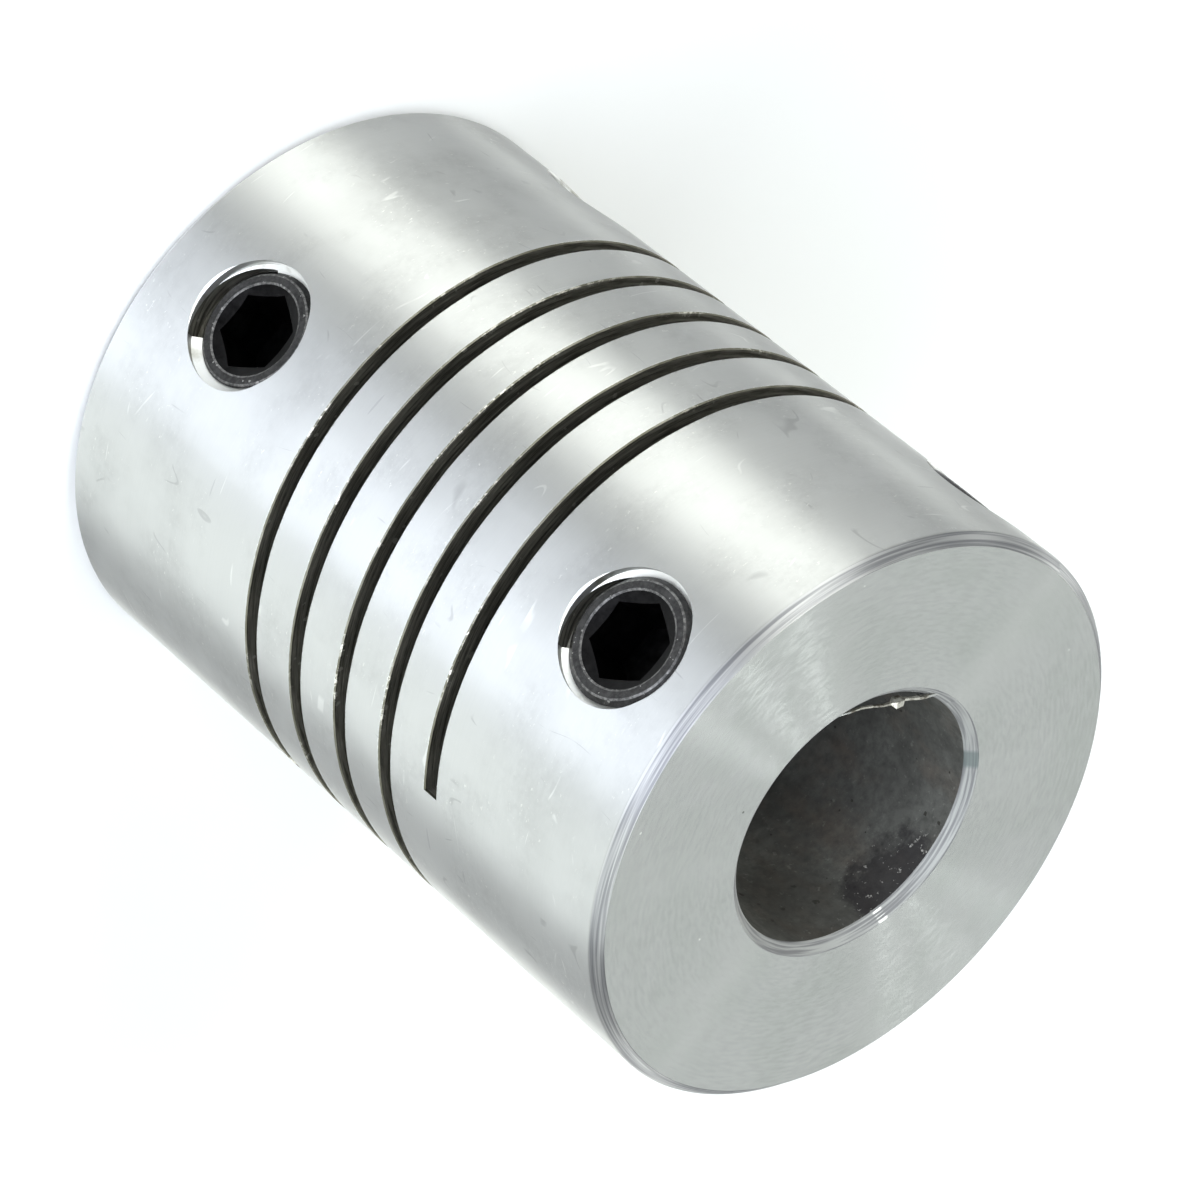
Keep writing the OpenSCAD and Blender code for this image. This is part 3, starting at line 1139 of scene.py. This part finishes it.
def bore_metal():
    """The bored wall: matt, mottled brown and grey, with dark swarf packed below the mouth and a dark band
    of painted shade.
    """
    material, tree, shader, place = new_metal("bored_wall")
    shader.inputs["Metallic"].default_value = 0.4
    _, angle, z = polar(tree, place)
    cloud = smudged(tree, place, 0.45, 0.35, 0.65)
    brown = smudged(tree, stretched(tree, place, (1.0, 1.0, 0.6)), 0.7, 0.48, 0.68)
    mottle = noise_of(tree, place, 3500.0, detail=4.0, roughness=0.7)
    dirt = speckled(tree, place, 0.18, 0.4, 0.35)
    ragged = calc(tree, "SUBTRACT", noise_of(tree, place, 900.0, detail=5.0, roughness=0.7), 0.5)
    # Painted shade: a dark band on the wall below the mouth, round 44°
    painted_shade_band = bore_patch(tree, angle, z, 44, 26, 3.6, times(tree, ragged, 3.0))
    swarf = bore_patch(tree, angle, z, 82, 21, 1.75, times(tree, ragged, 4.0))
    chips = spread(tree, noise_of(tree, place, 5200.0, detail=3.0, roughness=0.7), 0.62, 0.68)
    chips = times(tree, chips, spread(tree, swarf, 0.0, 1.0, 0.15, 1.0))
    colour = coated(
        tree, BORE_PALE,
        (cloud, 1.0, BORE_DARK),
        (brown, 0.6, BORE_BROWN),
        (spread(tree, mottle, 0.4, 0.7, 0.0, 0.6), 1.0, BORE_MOTTLE),
        (dirt, 0.8, BORE_DIRT),
        (painted_shade_band, 0.5, BORE_SHADE_DARK),
        (swarf, 0.75, SWARF_DARK),
        (chips, 0.7, SWARF_CHIP),
    )
    finish_metal(tree, shader, colour, spread(tree, cloud, 0.0, 1.0, 0.5, 0.62), mottle, 0.5, 0.02)
    return material


def slot_metal():
    """The sawn walls of the slot: coloured dark as painted shade, streaked, with torn flecks at the lips
    and painted shade on the flared lip.
    """
    material, tree, shader, place = new_metal("sawn_wall")
    radius, angle, _ = polar(tree, place)
    streak = noise_of(tree, wound(tree, radius, angle, 9.0, 4.0), 1000.0, detail=4.0, roughness=0.7)
    section = spread(tree, noise_of(tree, place, 330.0, detail=1.0), 0.5, 0.62)
    pale = times(tree, spread(tree, streak, 0.55, 0.68), section)
    flecks = speckled(tree, stretched(tree, place, (0.8, 0.8, 1.4)), 0.16, 0.35, 0.3)
    near_lip = spread(tree, radius, BODY_R - 0.3 * MM, BODY_R - 0.05 * MM, 0.0, 0.3)
    torn = noise_of(tree, stretched(tree, place, (1.0, 1.0, 2.0)), 5000.0, detail=3.0, roughness=0.7)
    torn = times(tree, spread(tree, calc(tree, "ADD", torn, near_lip), 0.8, 0.9), section)
    torn = calc(tree, "MAXIMUM", torn, times(tree, flecks, 0.35))
    lip = spread(tree, radius, BODY_R - 0.07 * MM, BODY_R - 0.02 * MM)
    # Painted shade: the flared lip is darkened
    shaded_lip = times(tree, lip, spread(tree, noise_of(tree, place, 2000.0), 0.35, 0.6, 0.9, 0.5))
    colour = coated(
        tree, SAWN_SHADE_DARK,
        (spread(tree, streak, 0.38, 0.62), 1.0, SAWN_PALE),
        (pale, 0.7, STREAK_PALE),
        (shaded_lip, 1.0, LIP_SHADE_OLIVE),
        (torn, 1.0, FLECK_PALE),
    )
    finish_metal(tree, shader, colour, 0.5, streak, 0.6, 0.02)
    return material


def hole_metal():
    """The tapped walls of the screw holes, stained here and there."""
    material, tree, shader, place = new_metal("tapped_wall")
    streak = noise_of(tree, place, 2500.0, detail=3.0, roughness=0.6)
    colour = blend_colours(tree, smudged(tree, place, 0.9, 0.52, 0.7), TAPPED_PALE, TAPPED_STAIN)
    finish_metal(tree, shader, colour, 0.38, streak, 0.4, 0.01)
    return material


def chip_metal():
    """The torn curl at the mouth of the bore."""
    material, tree, shader, place = new_metal("torn_curl")
    torn = noise_of(tree, place, 4000.0, detail=3.0, roughness=0.6)
    colour = blend_colours(tree, spread(tree, torn, 0.45, 0.6), CURL_PALE, CURL_DARK)
    finish_metal(tree, shader, colour, 0.45, torn, 0.6, 0.02)
    return material


def black_oxide(name, share, wear, level=1.0):
    """Black oxide on steel, with a share of its surface worn to bright specks."""
    material, tree, shader, place = new_metal(name)
    tone = noise_of(tree, place, 3000.0, detail=4.0, roughness=0.65)
    dark, light = (tuple(level * part for part in colour) for colour in (OXIDE_DARK, OXIDE_LIGHT))
    specks = speckled(tree, place, 0.1, share, 0.12)
    rubbed = noise_of(tree, place, 9000.0, detail=3.0, roughness=0.6)
    rubbed = times(tree, spread(tree, rubbed, 0.4, 0.65, 0.25, 1.0), wear)
    colour = coated(
        tree, dark,
        (spread(tree, tone, 0.3, 0.7), 1.0, light),
        (calc(tree, "MAXIMUM", specks, rubbed), 1.0, OXIDE_WORN),
    )
    finish_metal(tree, shader, colour, spread(tree, tone, 0.3, 0.7, 0.3, 0.48), tone, 0.4, 0.01)
    return material


place_camera()
pale_floor()
studio_tent()
for name, box in SOFTBOXES.items():
    softbox(name, *box)
GROUPS = {make.__name__: make() for make in (tool_marks, speckle, smudge, slot_edge)}
BODY_FINISHES = {
    SIDE: turned_side_metal(),
    END: faced_end_metal(),
    BORE: bore_metal(),
    SLOT: slot_metal(),
    HOLE: hole_metal(),
    RIM: rim_metal(),
    MOUTH: mouth_metal(),
    CHIP: chip_metal(),
}
SCREW_FINISHES = {
    BLACK: black_oxide("black_oxide", share=0.1, wear=0.1),
    RUBBED: black_oxide("rubbed_oxide", share=0.15, wear=0.7),
    # Painted shade: the socket's oxide is three times darker than the rest, and unworn
    SOCKET: black_oxide("socket_oxide_shade", share=0.0, wear=0.0, level=0.3),
}

holes = hole_lines()
body = coupling_body()
give_finishes(body, BODY_FINISHES.values(), lambda face: finish_of(face, holes))
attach(body, "root")
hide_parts("coupling_body")

pattern = set_screw()
give_finishes(pattern, SCREW_FINISHES.values(), screw_finish)
for node in SCREWS:
    screw = pattern.copy()
    screw.data = pattern.data.copy()
    screw.name = node + "_piece"
    bpy.context.scene.collection.objects.link(screw)
    screw.matrix_world = screw_place(node)
    apply_place(screw)
    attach(screw, "root")
    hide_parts(node)
bpy.data.objects.remove(pattern)

bpy.context.scene.view_settings.view_transform = "Standard"
